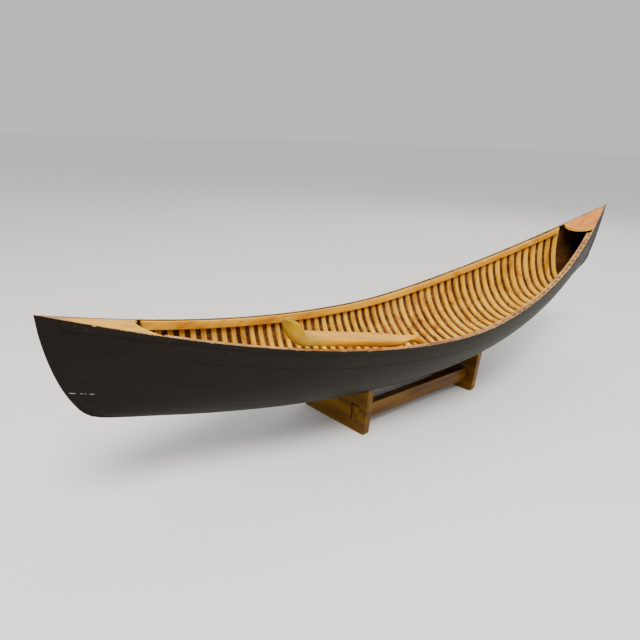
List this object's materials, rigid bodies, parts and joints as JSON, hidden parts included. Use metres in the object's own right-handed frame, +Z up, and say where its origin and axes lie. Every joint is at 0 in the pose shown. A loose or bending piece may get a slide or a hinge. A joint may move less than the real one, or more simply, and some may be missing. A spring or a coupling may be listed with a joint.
{
  "type": "display model canoe",
  "caption": "Display model of a ribbed wooden canoe with upswept ends, dark painted planking, open gunwales and decks, with a paddle laid in it, on a low wooden cradle.",
  "frame": {"origin": "centre of the bounding box at the underside of the cradle", "axes": "+X along the canoe towards the bow, the end held higher; +Y to port; +Z up"},
  "size_m": [0.999, 0.1918, 0.2468],
  "materials": {
    "hull_paint": "dark satin paint over planking, worn at the edges",
    "rib_wood": "pale bent wood, lightly varnished",
    "gunwale_wood": "golden varnished wood",
    "deck_bow_wood": "orange varnished wood",
    "deck_stern_wood": "pale varnished wood",
    "cradle_varnish": "brown varnished wood",
    "paddle_wood": "golden varnished wood"
  },
  "bodies": {
    "cradle": {"cradle_board_bow": "cradle_varnish", "cradle_board_stern": "cradle_varnish", "cradle_rail_port": "cradle_varnish", "cradle_rail_starboard": "cradle_varnish"},
    "canoe": {"deck_bow": "deck_bow_wood", "deck_stern": "deck_stern_wood", "inwale_port": "gunwale_wood", "inwale_starboard": "gunwale_wood", "keel": "hull_paint", "outwale_port": "hull_paint", "outwale_starboard": "hull_paint", "rib_00": "rib_wood", "rib_01": "rib_wood", "rib_02": "rib_wood", "rib_03": "rib_wood", "rib_04": "rib_wood", "rib_05": "rib_wood", "rib_06": "rib_wood", "rib_07": "rib_wood", "rib_08": "rib_wood", "rib_09": "rib_wood", "rib_10": "rib_wood", "rib_11": "rib_wood", "rib_12": "rib_wood", "rib_13": "rib_wood", "rib_14": "rib_wood", "rib_15": "rib_wood", "rib_16": "rib_wood", "rib_17": "rib_wood", "rib_18": "rib_wood", "rib_19": "rib_wood", "rib_20": "rib_wood", "rib_21": "rib_wood", "rib_22": "rib_wood", "rib_23": "rib_wood", "rib_24": "rib_wood", "rib_25": "rib_wood", "rib_26": "rib_wood", "stem_bow": "hull_paint", "stem_stern": "hull_paint", "strake_port_1": "hull_paint", "strake_port_2": "hull_paint", "strake_port_3": "hull_paint", "strake_port_4": "hull_paint", "strake_starboard_1": "hull_paint", "strake_starboard_2": "hull_paint", "strake_starboard_3": "hull_paint", "strake_starboard_4": "hull_paint"},
    "paddle": {"paddle_blade": "paddle_wood", "paddle_grip": "paddle_wood", "paddle_shaft": "paddle_wood"}
  },
  "joints": [
    {"name": "canoe_lift", "type": "slide", "parent": "cradle", "child": "canoe", "axis": [0, 0, 1], "range_m": [0, 0.12]},
    {"name": "paddle_lift", "type": "slide", "parent": "canoe", "child": "paddle", "axis": [0, 0, 1], "range_m": [0, 0.12]}
  ]
}
